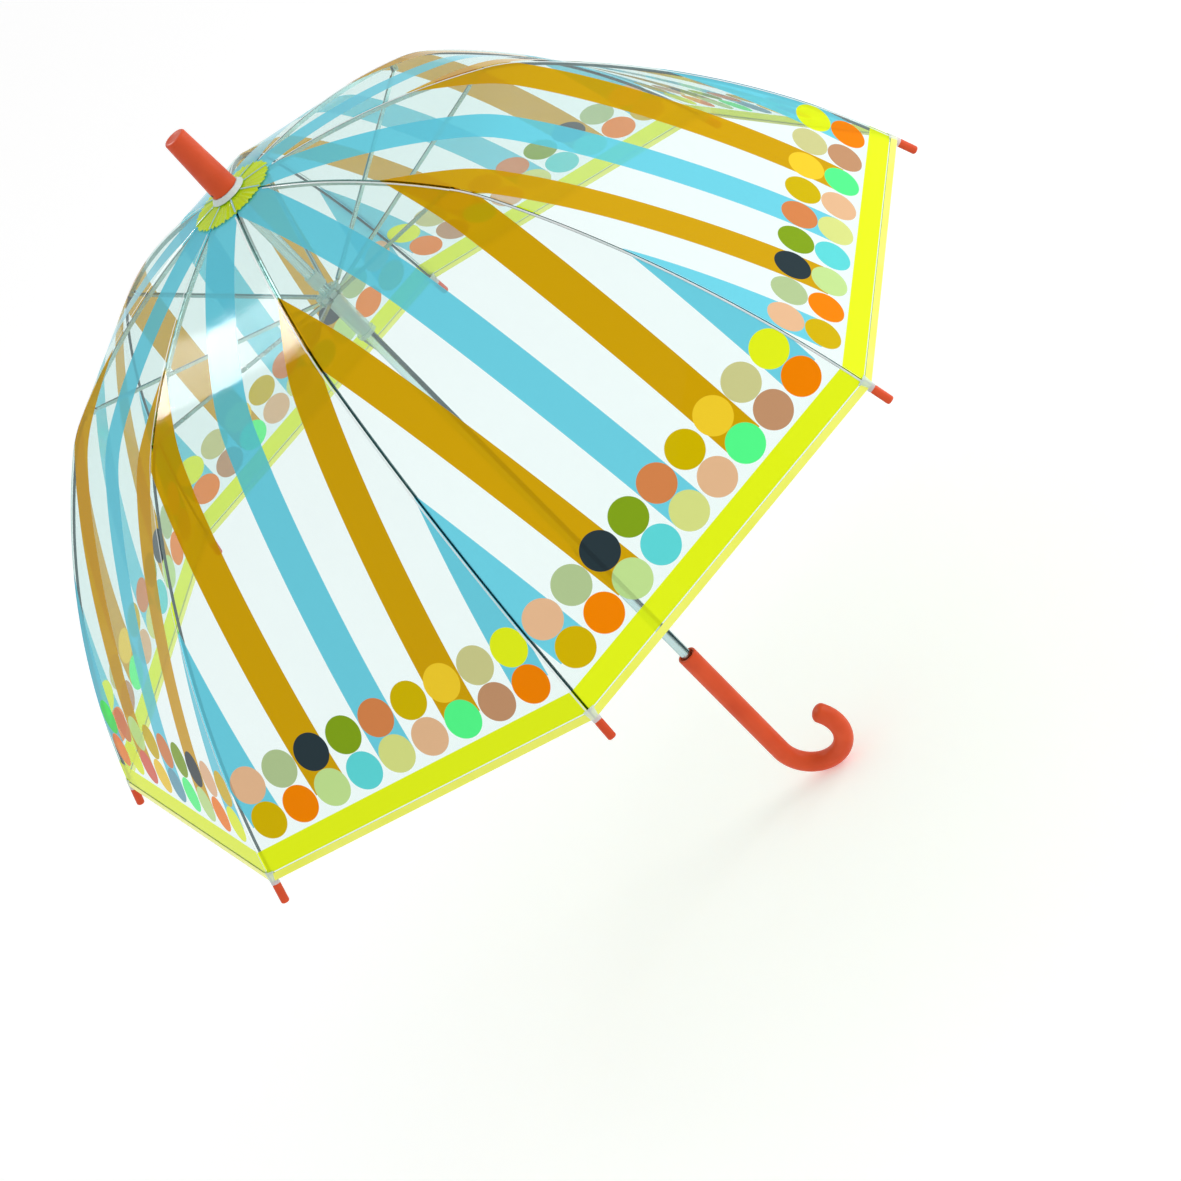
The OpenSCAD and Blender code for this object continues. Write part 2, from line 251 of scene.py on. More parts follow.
def see_through(tree, tint, body):
    """Mix the material's Principled shader, as its body, with a tinted window."""
    window = put(tree, "ShaderNodeBsdfTransparent", Color=tint)
    blend = put(tree, "ShaderNodeMixShader", Fac=body)
    tree.links.new(window.outputs[0], blend.inputs[1])
    tree.links.new(tree.nodes["Principled BSDF"].outputs[0], blend.inputs[2])
    tree.links.new(blend.outputs[0], tree.nodes["Material Output"].inputs["Surface"])


def new_material(name):
    """A material with its Principled shader, ready for nodes."""
    material = bpy.data.materials.new(name)
    material.use_nodes = True
    return material, material.node_tree, material.node_tree.nodes["Principled BSDF"].inputs


print("a new material has these nodes:", [node.name for node in new_material("bare")[1].nodes])
bpy.data.materials.remove(bpy.data.materials["bare"])

# %% [markdown]
# ## Printing by position
# The stripes and dots are screen printed on the flat film, so each gore will carry a map of
# where it lies on the flat sheet: across from its middle line, and up from its rim, both in
# metres. Two small groups then print from that map. One prints a pair of bands at the same
# distance on both sides of the middle line. The other prints a row of dots, and also says
# which dot of the row it is on, so that a colour ramp can give every dot its own ink.

# %% Band and dot groups
EDGE = 0.25 * MM
DOTS = 9

band_group, given, result = new_group(
    "printed band", {"Across": "Float", "Centre": "Float", "Half": "Float"}, {"Mask": "Float"})
tree = band_group
from_centre = calc(tree, "ABSOLUTE", calc(tree, "SUBTRACT", calc(tree, "ABSOLUTE", given["Across"]),
                                          given["Centre"]))
depth = calc(tree, "DIVIDE", calc(tree, "SUBTRACT", given["Half"], from_centre), EDGE)
tree.links.new(calc(tree, "ADD", depth, 0.5, clamp=True), result["Mask"])

dot_group, given, result = new_group(
    "printed dots", {name: "Float" for name in ("Across", "Along", "Row", "Pitch", "Radius")},
    {"Mask": "Float", "Place": "Float"})
tree = dot_group
column = calc(tree, "ROUND", calc(tree, "DIVIDE", given["Across"], given["Pitch"]))
aside = calc(tree, "SUBTRACT", given["Across"], calc(tree, "MULTIPLY", column, given["Pitch"]))
above = calc(tree, "SUBTRACT", given["Along"], given["Row"])
reach = calc(tree, "SQRT", calc(tree, "ADD", calc(tree, "MULTIPLY", aside, aside),
                                calc(tree, "MULTIPLY", above, above)))
depth = calc(tree, "DIVIDE", calc(tree, "SUBTRACT", given["Radius"], reach), EDGE)
inside = calc(tree, "ADD", depth, 0.5, clamp=True)
in_row = calc(tree, "LESS_THAN", calc(tree, "ABSOLUTE", column), DOTS / 2)
tree.links.new(calc(tree, "MULTIPLY", inside, in_row), result["Mask"])
tree.links.new(calc(tree, "DIVIDE", calc(tree, "ADD", column, DOTS / 2), float(DOTS)), result["Place"])
print("groups:", band_group.name, "and", dot_group.name)

# %% [markdown]
# ## The surface of soft vinyl
# Clear film is never quite even: it has a faint cloud where it has been handled, and long
# soft ripples from being pulled over the ribs. Both come from noise, one for a haze mask and
# one for a bump height, and every film material shares them.

# %% Vinyl group
vinyl_group, given, result = new_group(
    "soft vinyl", {"Vector": "Vector"}, {"Haze": "Float", "Height": "Float"})
tree = vinyl_group
cloud = put(tree, "ShaderNodeTexNoise", Vector=given["Vector"], Scale=22.0, Detail=4.0, Roughness=0.6)
tree.links.new(spread(tree, cloud.outputs["Fac"], 0.35, 0.7, 0.0, 1.0), result["Haze"])
ripple = put(tree, "ShaderNodeTexNoise", Vector=given["Vector"], Scale=34.0, Detail=2.0, Distortion=0.6)
crease = put(tree, "ShaderNodeTexNoise", Vector=given["Vector"], Scale=170.0, Detail=2.0, Roughness=0.45)
height = calc(tree, "MULTIPLY_ADD", crease.outputs["Fac"], 0.3, ripple.outputs["Fac"])
tree.links.new(height, result["Height"])
print("vinyl group ready")

# %% [markdown]
# ## Beside a rib
# Two looks change across each rib: the film clings to the metal and turns quite clear there, and the pressed
# strip gets painted shade down the groove in its middle. Both need the distance from the nearest rib's plane,
# which follows from the angle about the shaft, folded into one pitch.

# %% Rib plane group
aside_group, given, result = new_group("beside a rib", {"Vector": "Vector"}, {"Aside": "Float"})
tree = aside_group
split = put(tree, "ShaderNodeSeparateXYZ", Vector=given["Vector"])
turn = calc(tree, "ARCTAN2", split.outputs["Y"], split.outputs["X"])
pitches = calc(tree, "SUBTRACT", calc(tree, "DIVIDE", turn, PITCH), 0.5)
left_over = calc(tree, "MULTIPLY", calc(tree, "SUBTRACT", pitches, calc(tree, "ROUND", pitches)), PITCH)
square_x, square_y = [calc(tree, "MULTIPLY", split.outputs[axis], split.outputs[axis]) for axis in "XY"]
radius = calc(tree, "SQRT", calc(tree, "ADD", square_x, square_y))
off_plane = calc(tree, "MULTIPLY", radius, calc(tree, "SINE", left_over))
tree.links.new(calc(tree, "ABSOLUTE", off_plane), result["Aside"])
print("group:", aside_group.name)

# %% [markdown]
# ## The printed film
# One material prints a whole gore. The stripes are as wide as the dots, and lie under the
# middle, the second and the fourth dots on each side. Screen ink on film is like stained
# glass: part of it scatters light, and the rest filters what lies behind. An alpha would let
# plain white through and wash the inks out, so the window in the mix is tinted by the ink.
# Where the film clings to a rib it has no body at all, so the dark rods show as they are. Two
# gores have their dots in another order, so the function takes the two rows of inks.

# %% Sizes and inks of the print
DOT_PITCH = 27.3 * MM
DOT_RADIUS = 12.8 * MM
STRIPE_HALF = 12.9 * MM
STRIPE_SPREAD = 0.023
LOWER_ROW = 36.7 * MM
UPPER_ROW = 62.6 * MM
RIM_BAND = (5.8 * MM, 21.4 * MM)
HEM_WIDTH = 4.6 * MM
CLEAR_BODY = 0.17
HAZE_BODY = 0.04
INK_BODY = 0.78
CLING = 0.6 * MM
CLING_EDGE = 0.4 * MM
BLUE, OCHRE, LIME, PALE_LIME = "6ED2E5", "D1A307", "E6F71C", "EAF765"
CLEAR = "ECF8F7"
LOWER_INKS = ["D4B502", "F68600", "C3E493", "60DADB", "D9E287", "E6BA90", "56FE8D", "C3936D", "F68500"]
UPPER_INKS = ["E7BA91", "B2C993", "2B3A40", "83A51A", "D7854D", "D1B702", "F4CF2E", "CECE8E", "E6F51C"]
OTHER_LOWER_INKS = ["F68500", "E6F51C", "DD6650", "F4CF2E", "6AA5B8", "56FE8D", "C3E493", "F68500", "E6F51C"]
OTHER_UPPER_INKS = ["2BF55A", "D7854D", "C3E493", "D1B702", "D7854D", "83A51A", "2B3A40", "E7BA91", "D4B502"]
STRIPES = ((0.0, BLUE), (2 * DOT_PITCH, OCHRE), (4 * DOT_PITCH, BLUE))
EDGE_BANDS = ((*RIM_BAND, LIME), (-HEM_WIDTH, HEM_WIDTH, PALE_LIME))
print("a row of", len(LOWER_INKS), "dots is", round(DOTS * DOT_PITCH / MM), "mm long")


# %% Ink helpers
def ink_ramp(tree, place, inks):
    """A stepped colour ramp with one step for each dot of a row."""
    ramp = put(tree, "ShaderNodeValToRGB", Fac=place)
    ramp.color_ramp.interpolation = "CONSTANT"
    steps = ramp.color_ramp.elements
    steps.remove(steps[-1])
    for k, ink in enumerate(inks):
        step = steps.new(k / len(inks)) if k else steps[0]
        step.color = dye(ink)
    return ramp.outputs["Color"]


def between(tree, value, low, high):
    """1 where a value lies between two limits, with a soft edge."""
    middle, half = (low + high) / 2, (high - low) / 2
    off = calc(tree, "ABSOLUTE", calc(tree, "SUBTRACT", value, middle))
    return calc(tree, "ADD", calc(tree, "DIVIDE", calc(tree, "SUBTRACT", half, off), EDGE), 0.5, clamp=True)


print("the edge of a printed shape is", EDGE / MM, "mm soft")


# %% Printed film
def printed_film(name, lower_inks, upper_inks):
    """Clear film with stripes, two rows of dots and a lime rim."""
    material, tree, shader = new_material(name)
    sheet_map = put(tree, "ShaderNodeUVMap", {"uv_map": "print"})
    split = put(tree, "ShaderNodeSeparateXYZ", Vector=sheet_map.outputs["UV"])
    across, along = split.outputs["X"], split.outputs["Y"]
    colour, ink = dye(CLEAR), 0.0
    above_dots = calc(tree, "GREATER_THAN", along, LOWER_ROW)
    for centre, code in STRIPES:
        spot = calc(tree, "MULTIPLY_ADD", along, STRIPE_SPREAD, centre) if centre else centre
        band = use_group(tree, band_group, Across=across, Centre=spot, Half=STRIPE_HALF)["Mask"]
        band = calc(tree, "MULTIPLY", band, above_dots)
        colour = mix_colour(tree, band, colour, dye(code))
        ink = calc(tree, "MAXIMUM", ink, band)
    for row, inks in ((LOWER_ROW, lower_inks), (UPPER_ROW, upper_inks)):
        dots = use_group(tree, dot_group, Across=across, Along=along, Row=row, Pitch=DOT_PITCH,
                         Radius=DOT_RADIUS)
        colour = mix_colour(tree, dots["Mask"], colour, ink_ramp(tree, dots["Place"], inks))
        ink = calc(tree, "MAXIMUM", ink, dots["Mask"])
    for low, high, code in EDGE_BANDS:
        band = between(tree, along, low, high)
        colour = mix_colour(tree, band, colour, dye(code))
        ink = calc(tree, "MAXIMUM", ink, band)
    place = put(tree, "ShaderNodeTexCoord").outputs["Object"]
    vinyl = use_group(tree, vinyl_group, Vector=place)
    film = calc(tree, "MULTIPLY_ADD", vinyl["Haze"], HAZE_BODY, CLEAR_BODY)
    body = calc(tree, "ADD", film, calc(tree, "MULTIPLY", ink, calc(tree, "SUBTRACT", INK_BODY, film)))
    aside = use_group(tree, aside_group, Vector=place)["Aside"]
    body = calc(tree, "MULTIPLY", body, spread(tree, aside, CLING, CLING + CLING_EDGE, 0.0, 1.0))
    bump = put(tree, "ShaderNodeBump", Height=vinyl["Height"], Strength=0.22, Distance=0.5 * MM)
    feed(tree, shader["Base Color"], colour)
    feed(tree, shader["Roughness"], spread(tree, vinyl["Haze"], 0, 1, 0.05, 0.12))
    feed(tree, shader["Normal"], bump.outputs["Normal"])
    shader["Specular IOR Level"].default_value = 0.05
    see_through(tree, colour, body)
    return material


print_a = printed_film("printed film", LOWER_INKS, UPPER_INKS)
print_b = printed_film("printed film, second order", OTHER_LOWER_INKS, OTHER_UPPER_INKS)
print("printed:", print_a.name, "/", print_b.name)

# %% [markdown]
# ## Plain films
# The hem, the rosette, the weld seams and the corner pockets are the same vinyl in one ink
# or none. One function makes them all: a little of the haze goes into the colour too, because
# welded film turns milky.

# %% Plain films
def plain_film(name, colour, milky, body, rough):
    """Vinyl in one ink, with milky patches."""
    material, tree, shader = new_material(name)
    place = put(tree, "ShaderNodeTexCoord").outputs["Object"]
    vinyl = use_group(tree, vinyl_group, Vector=place)
    bump = put(tree, "ShaderNodeBump", Height=vinyl["Height"], Strength=0.5, Distance=0.4 * MM)
    tone = mix_colour(tree, vinyl["Haze"], dye(colour), dye(milky))
    feed(tree, shader["Base Color"], tone)
    feed(tree, shader["Roughness"], spread(tree, vinyl["Haze"], 0, 1, rough, rough + 0.12))
    feed(tree, shader["Normal"], bump.outputs["Normal"])
    shader["Specular IOR Level"].default_value = 0.2
    see_through(tree, tone, spread(tree, vinyl["Haze"], 0, 1, body, body + 0.06))
    return material


hem_film = plain_film("folded hem film", "FAFF62", "FCFF7C", 0.94, 0.12)
rosette_film = plain_film("rosette film", "D6F31B", "C2E31C", 0.90, 0.18)
weld_film = plain_film("welded film", "EAF7F6", "FFFFFF", 0.72, 0.12)
rosette_weld = plain_film("rosette weld", "8FCBE6", "C2E6F2", 0.85, 0.12)
pocket_film = plain_film("corner pocket film", "E0F3F4", "FFFFFF", 0.55, 0.1)
washer_clear = plain_film("clear moulding", "D5EDF1", "F4FCFC", 0.72, 0.05)
print("plain films:", hem_film.name, rosette_film.name, weld_film.name)

# %% [markdown]
# ## Moulded plastic
# The handle, the ferrule and the rib caps come from one orange moulding compound, and the
# crown and the runner from a milky white one that lets some light through. A moulding shows a
# fine grain from the tool's surface, slow drifts in tone where the melt cooled, and a satin
# gloss that is uneven where hands rub it.

# %% Moulded plastic
moulded_group, given, result = new_group(
    "moulded plastic", {"Vector": "Vector", "Colour": "Color", "Cooled": "Color"},
    {"Colour": "Color", "Roughness": "Float", "Height": "Float"})
tree = moulded_group
drift = put(tree, "ShaderNodeTexNoise", Vector=given["Vector"], Scale=38.0, Detail=3.0)
grain = put(tree, "ShaderNodeTexNoise", Vector=given["Vector"], Scale=1400.0, Detail=2.0)
rubbed = put(tree, "ShaderNodeTexNoise", Vector=given["Vector"], Scale=90.0, Detail=4.0, Roughness=0.65)
shade = spread(tree, drift.outputs["Fac"], 0.35, 0.65, 0.0, 1.0)
tree.links.new(mix_colour(tree, shade, given["Colour"], given["Cooled"]), result["Colour"])
tree.links.new(spread(tree, rubbed.outputs["Fac"], 0.3, 0.7, 0.34, 0.52), result["Roughness"])
tree.links.new(grain.outputs["Fac"], result["Height"])


def moulding(name, colour, cooled, grain_depth, gloss):
    """A moulded plastic. Gloss adds a clear coat for the shinier compounds."""
    material, tree, shader = new_material(name)
    place = put(tree, "ShaderNodeTexCoord").outputs["Object"]
    made = use_group(tree, moulded_group, Vector=place, Colour=dye(colour), Cooled=dye(cooled))
    bump = put(tree, "ShaderNodeBump", Height=made["Height"], Strength=0.25, Distance=grain_depth)
    feed(tree, shader["Base Color"], made["Colour"])
    feed(tree, shader["Roughness"], made["Roughness"])
    feed(tree, shader["Normal"], bump.outputs["Normal"])
    shader["Coat Weight"].default_value = gloss
    shader["Specular IOR Level"].default_value = 0.25
    return material


orange = moulding("orange moulding", "E25429", "D64A21", 0.12 * MM, 0.0)
white = moulding("white moulding", "EEF7F2", "E2F0EA", 0.06 * MM, 0.3)
see_through(white.node_tree, dye("EFF8F3"), 0.40)
print("mouldings:", orange.name, white.name)

# %% [markdown]
# ## Metals
# The shaft is plated tube, the ribs and struts are pressed strip, and the lower ribs are dark
# sprung wire. All show fine lines from being drawn or rolled. The shaft's lines run along it,
# which stretching the noise along Z gives; on the short pressings an even noise is enough.
# Thin bright metal in a white room loses its outline, so each metal has painted shade where it turns away
# from the eye, and the pressed strip has painted shade down the groove in its middle.

# %% Metal group
metal_group, given, result = new_group(
    "drawn metal", {"Vector": "Vector", "Colour": "Color", "Dull": "Color"},
    {"Colour": "Color", "Roughness": "Float", "Height": "Float"})
tree = metal_group
lines = put(tree, "ShaderNodeTexNoise", Vector=given["Vector"], Scale=900.0, Detail=3.0)
spots = put(tree, "ShaderNodeTexNoise", Vector=given["Vector"], Scale=60.0, Detail=5.0, Roughness=0.7)
dull = spread(tree, spots.outputs["Fac"], 0.45, 0.75, 0.0, 1.0)
tree.links.new(mix_colour(tree, dull, given["Colour"], given["Dull"]), result["Colour"])
tree.links.new(spread(tree, calc(tree, "ADD", lines.outputs["Fac"], dull), 0.3, 1.5, 0.14, 0.42),
               result["Roughness"])
tree.links.new(lines.outputs["Fac"], result["Height"])
print("group:", metal_group.name)

# %% Metals
EVEN = (0.5, 0.5, 0.5)
ALONG_SHAFT = (1, 1, 0.02)
GROOVE_SHADE_EDGE = 0.25 * MM


def metal(name, colour, dull_colour, edge, stretch, depth, groove_shade=0.0):
    """A metal with painted shade in the edge colour where it turns away, and down the middle of its groove
    when a groove width is given. A small stretch draws the noise out into lines.
    """
    material, tree, shader = new_material(name)
    place = put(tree, "ShaderNodeTexCoord").outputs["Object"]
    drawn = put(tree, "ShaderNodeMapping", Vector=place, Scale=stretch)
    made = use_group(tree, metal_group, Vector=drawn.outputs["Vector"], Colour=dye(colour),
                     Dull=dye(dull_colour))
    bump = put(tree, "ShaderNodeBump", Height=made["Height"], Strength=0.3, Distance=depth)
    # painted shade: the colour goes to the edge colour where the surface turns away from the eye
    away = put(tree, "ShaderNodeLayerWeight", Blend=0.5).outputs["Facing"]
    colour = mix_colour(tree, spread(tree, away, 0.3, 0.8, 0.0, 1.0), made["Colour"], dye(edge))
    # painted shade: the middle of the pressed strip's groove takes the dark edge colour
    if groove_shade:
        aside = use_group(tree, aside_group, Vector=place)["Aside"]
        in_groove_shade = spread(tree, aside, groove_shade, groove_shade + GROOVE_SHADE_EDGE, 1.0, 0.0)
        colour = mix_colour(tree, in_groove_shade, colour, dye(edge))
    feed(tree, shader["Base Color"], colour)
    feed(tree, shader["Roughness"], made["Roughness"])
    feed(tree, shader["Normal"], bump.outputs["Normal"])
    shader["Metallic"].default_value = 1.0
    return material


# The fourth colour of each metal is its painted shade, for where it turns away and for the groove.
shaft_metal = metal("plated tube", "D2EBEC", "B4CCCF", "9DBBBE", ALONG_SHAFT, 0.03 * MM)
pressed_metal = metal("pressed strip", "BDD8D4", "A8C6C2", "3A5854", EVEN, 0.03 * MM, groove_shade=0.3 * MM)
wire_metal = metal("dark sprung wire", "38585A", "2A4648", "162A2C", EVEN, 0.02 * MM)
spring_metal = metal("spring steel", "8C9A9C", "707E80", "566466", (1, 1, 1), 0.02 * MM)
print("metals:", shaft_metal.name, pressed_metal.name, wire_metal.name, spring_metal.name)

# %% [markdown]
# ## Finishes on the frame
# The frame's own pieces keep their shapes and only change their finish. Each one names its
# material slot in the record, so one table from slot to material dresses them all.

# %% Finishes
finishes = {"shaft_steel": shaft_metal, "rib_steel": pressed_metal, "rod_steel": wire_metal,
            "spring_steel": spring_metal, "orange_moulding": orange, "hub_plastic": white,
            "washer_plastic": washer_clear, "rosette_film": rosette_film, "printed_film": print_a}
for part in frame["record"]["subparts"]:
    node = frame["nodes"][part["node"]]
    node.data.materials.clear()
    node.data.materials.append(finishes[part["material_slot"]])

# %% [markdown]
# ## The line of the canopy
# Seen from the side, the canopy is three arcs: a flat one over the upper ribs, a tight bend
# at the elastic knee, and a long steep one down to the rim. Each arc is known from its length
# and the slopes at its ends. `canopy_line` walks down them and gives the radius, the height
# and the slope at any distance from the crown.

# %% Canopy line
UPPER_LENGTH = 178 * MM
BEND_LENGTH = 30 * MM
LOWER_LENGTH = 292 * MM
SLOPES = [math.radians(a) for a in (5, 27, 42.5, 68)]
LENGTHS = [UPPER_LENGTH, BEND_LENGTH, LOWER_LENGTH - BEND_LENGTH]
FILM_RISE = 0.15 * MM
crown_low, crown_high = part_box("crown_wire")
START_RADIUS = 8 * MM
START_RISE = 2.4 * MM
START = (START_RADIUS, (crown_low.z + crown_high.z) / 2 + START_RISE)
RIM = sum(LENGTHS)


def canopy_line(distance):
    """Radius, height and slope of the canopy at a distance from the crown."""
    radius, height = START
    for k, length in enumerate(LENGTHS):
        bend = (SLOPES[k + 1] - SLOPES[k]) / length
        part = min(distance, length) if k < len(LENGTHS) - 1 else distance
        slope = SLOPES[k] + bend * part
        radius += (math.sin(slope) - math.sin(SLOPES[k])) / bend
        height += (math.cos(slope) - math.cos(SLOPES[k])) / bend
        distance -= part
        if distance <= 0:
            break
    return radius, height, slope


print("rim height", round(canopy_line(RIM)[1], 5), "in the frame", round(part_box("gore_lower_8")[0].z, 5))

# %% [markdown]
# ## Film gores
# A gore is cut flat, welded to its neighbours, and pulled tight over the ribs, so between two ribs it is
# nearly straight and only a little hollow. That makes it easy to unroll: the way across stays as it is, and
# the way up is measured along its middle line. Each gore is a grid, shaped by that rule, and its `print` map
# holds the unrolled place. It is two pieces, because the sheet bends at the knee when the umbrella folds.

# %% The film unrolled
HALF_PITCH = PITCH / 2
STEPS = 600

climb = [0.0]
for k in range(STEPS):
    r0, z0, _ = canopy_line(RIM * k / STEPS)
    r1, z1, _ = canopy_line(RIM * (k + 1) / STEPS)
    climb.append(climb[-1] + math.hypot((r1 - r0) * math.cos(HALF_PITCH), z1 - z0))


def above_rim(distance):
    """Distance up from the rim along a gore's middle line."""
    place = distance / RIM * STEPS
    low = min(int(place), STEPS - 1)
    return climb[-1] - (climb[low] + (climb[low + 1] - climb[low]) * (place - low))


def gore_point(distance, side, hollow=0.0, lift=0.0):
    """A point of a gore that faces +X. Side runs from -1 to 1 between the two ribs."""
    radius, height, slope = canopy_line(distance)
    out = FILM_RISE + lift - hollow * (1 - side * side)
    radius_mid = radius * math.cos(HALF_PITCH) + out * math.sin(slope)
    return Vector((radius_mid, side * radius * math.sin(HALF_PITCH), height + out * math.cos(slope)))


def turned(point, angle):
    """A point turned about the shaft."""
    return Matrix.Rotation(angle, 3, "Z") @ point


print("middle line of a gore:", round(climb[-1] * 1000, 1), "mm")


# %% Film helpers
CROWN_CUT = 0.6 * MM
FILM_COLUMNS = 24


def start_fresh():
    """Leave edit mode and deselect everything."""
    if bpy.context.object and bpy.context.object.mode != "OBJECT":
        bpy.ops.object.mode_set(mode="OBJECT")
    bpy.ops.object.select_all(action="DESELECT")


def shaped_grid(name, rows, columns, rule, material):
    """A grid whose rows and columns, from 0 to 1, are placed by a rule."""
    start_fresh()
    bpy.ops.mesh.primitive_grid_add(x_subdivisions=rows, y_subdivisions=columns, size=2)
    piece = bpy.context.object
    piece.name = piece.data.name = name
    places = [((v.co.x + 1) / 2, (v.co.y + 1) / 2) for v in piece.data.vertices]
    for vertex, (row, column) in zip(piece.data.vertices, places):
        vertex.co = rule(row, column)
    piece.data.materials.append(material)
    piece.data.polygons.foreach_set("use_smooth", [True] * len(piece.data.polygons))
    return piece, places


def film_gore(name, number, start, end, rows, hollow, material):
    """One piece of film between two distances from the crown, with its print map."""
    angle = number * PITCH

    def rule(row, column):
        sag = hollow * math.sin(math.pi * row) ** 2
        return turned(gore_point(start + (end - start) * row, 2 * column - 1, sag), angle)

    piece, places = shaped_grid(name, rows, FILM_COLUMNS, rule, material)
    flat = []
    for row, column in places:
        distance = start + (end - start) * row
        flat.append(((2 * column - 1) * canopy_line(distance)[0] * math.sin(HALF_PITCH), above_rim(distance)))
    layer = piece.data.uv_layers.new(name="print")
    for loop in piece.data.loops:
        layer.data[loop.index].uv = flat[loop.vertex_index]
    piece.data.uv_layers.active = layer
    return piece


def gather(piece):
    """Give a piece of gore its own copy of its mesh."""
    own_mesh(piece)


print("a gore starts", CROWN_CUT / MM, "mm from the crown")

# %% Film gores
UPPER_ROWS, LOWER_ROWS = 24, 44
UPPER_HOLLOW, LOWER_HOLLOW = 0.8 * MM, 3.0 * MM
SECOND_ORDER = (1, 5)
AREA_STEPS = 40


def cut_size(start, end):
    """Width, length and flat area of a piece of gore."""
    width = 2 * max(canopy_line(start)[0], canopy_line(end)[0]) * math.sin(HALF_PITCH)
    stations = [start + (end - start) * k / AREA_STEPS for k in range(AREA_STEPS + 1)]
    area = sum((canopy_line(a)[0] + canopy_line(b)[0]) * math.sin(HALF_PITCH) * (above_rim(a) - above_rim(b))
               for a, b in zip(stations, stations[1:]))
    return (width, above_rim(start) - above_rim(end)), area


upper_cut, upper_area = cut_size(CROWN_CUT, UPPER_LENGTH)
lower_cut, lower_area = cut_size(UPPER_LENGTH, RIM)
films = {}
for i in range(1, RIBS + 1):
    ink = print_b if i in SECOND_ORDER else print_a
    upper = film_gore(f"film_upper_{i}", i, CROWN_CUT, UPPER_LENGTH, UPPER_ROWS, UPPER_HOLLOW, ink)
    lower = film_gore(f"film_lower_{i}", i, UPPER_LENGTH, RIM, LOWER_ROWS, LOWER_HOLLOW, ink)
    for film, gore in ((upper, f"gore_upper_{i}"), (lower, f"gore_lower_{i}")):
        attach(film, gore)
        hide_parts(gore)
        gather(film)
    films[i] = (upper, lower)
print("upper cut", [round(c * 1000) for c in upper_cut], "lower cut", [round(c * 1000) for c in lower_cut])

# %% [markdown]
# ## Folded hems
# The rim of each gore is turned up and welded, so the edge is a soft round fold of three
# layers, paler than the band above it. It could be a plain strip, but the fold catches light
# along its round edge, so the strip is wrapped round the film's edge like a U.

# %% Hems
HEM_BULGE = 0.45 * MM
HEM_REACH = 0.998
HEM_ROWS, HEM_COLUMNS = 22, 12


def hem_rule(number):
    """The rule that wraps a strip round the rim of gore number."""
    def rule(row, column):
        around = (row - 0.5) * (2 * HEM_WIDTH + math.pi * HEM_BULGE)
        turn = max(-math.pi / 2, min(math.pi / 2, around / HEM_BULGE))
        up = max(0.0, abs(around) - math.pi / 2 * HEM_BULGE)
        place = RIM - up - HEM_BULGE * (1 - math.cos(turn))
        point = gore_point(place, HEM_REACH * (2 * column - 1), 0.0, -HEM_BULGE * math.sin(turn))
        return turned(point, number * PITCH)
    return rule


for i in range(1, RIBS + 1):
    hem, _ = shaped_grid(f"hem_{i}", HEM_ROWS, HEM_COLUMNS, hem_rule(i), hem_film)
    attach(hem, f"gore_lower_{i}")
    gather(hem)
    upper, lower = films[i]
print("hems:", RIBS)

# %% [markdown]
# ## Weld seams
# Neighbouring gores are welded over each rib, and the spare film of the weld lies folded to
# one side of it, as a narrow milky ribbon. It is two pieces for each rib, one on the upper
# rib and one on the lower, so it bends at the knee as the rib does.

# %% Weld seams
SEAM_INNER = {"upper": 1.3 * MM, "lower": 0.9 * MM}
SEAM_WIDTH = 1.15 * MM
SEAM_RISE = 0.25 * MM
SEAM_LIFT = 0.12 * MM
SEAM_START = 26 * MM
SEAMS = (("upper", SEAM_START, UPPER_LENGTH, 30), ("lower", UPPER_LENGTH, RIM, 44))


def seam_rule(number, inner, start, end):
    """The rule that lays a ribbon beside rib number, between two distances."""
    def rule(row, column):
        radius, height, slope = canopy_line(start + (end - start) * row)
        side = inner + SEAM_WIDTH * (1 - column)
        crown = SEAM_RISE * math.sin(math.pi * column) + SEAM_LIFT
        out = FILM_RISE + crown - side * math.tan(HALF_PITCH) * math.sin(slope)
        flat = Vector((radius + out * math.sin(slope), -side, height + out * math.cos(slope)))
        return turned(flat, (number - 0.5) * PITCH)
    return rule


for i in range(1, RIBS + 1):
    for level, start, end, rows in SEAMS:
        rule = seam_rule(i, SEAM_INNER[level], start, end)
        seam, _ = shaped_grid(f"seam_{level}_{i}", rows, 6, rule, weld_film)
        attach(seam, f"rib_{level}_{i}")
print("seams:", 2 * RIBS)

# %% [markdown]
# ## Rosette
# A pinked disc of lime film covers the point where the eight gores meet. It is a grid bent
# into a ring: its outer edge zigzags, and soft pleats run out from the shaft, because the
# disc is pressed down under the washer in its middle.

# %% Rosette
ROSETTE_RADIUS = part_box("rosette")[1].x
ROSETTE_ROWS = 14
TEETH = 56
TOOTH_DEPTH = 1.8 * MM
PLEATS = 38
SLOW_PLEATS = 17
SLOW_SHARE = 0.6
PLEAT_RISE = 0.32 * MM
ROSETTE_LIFT = 0.95 * MM
MERGE = 0.02 * MM
rosette_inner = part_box("shaft")[1].x


def rosette_rule(row, column):
    """The rule for a pleated disc with a pinked edge."""
    angle = 2 * math.pi * column
    tooth = TOOTH_DEPTH * abs((column * TEETH) % 1 * 2 - 1)
    reach = row * (ROSETTE_RADIUS - tooth - rosette_inner) + rosette_inner
    radius, height, _ = canopy_line(max(0.0, reach - START_RADIUS))
    radius = min(radius, reach)
    pleat = PLEAT_RISE * row * (math.sin(PLEATS * angle) + SLOW_SHARE * math.sin(SLOW_PLEATS * angle + 1))
    return Vector((math.cos(angle) * radius, math.sin(angle) * radius, height + ROSETTE_LIFT + pleat))


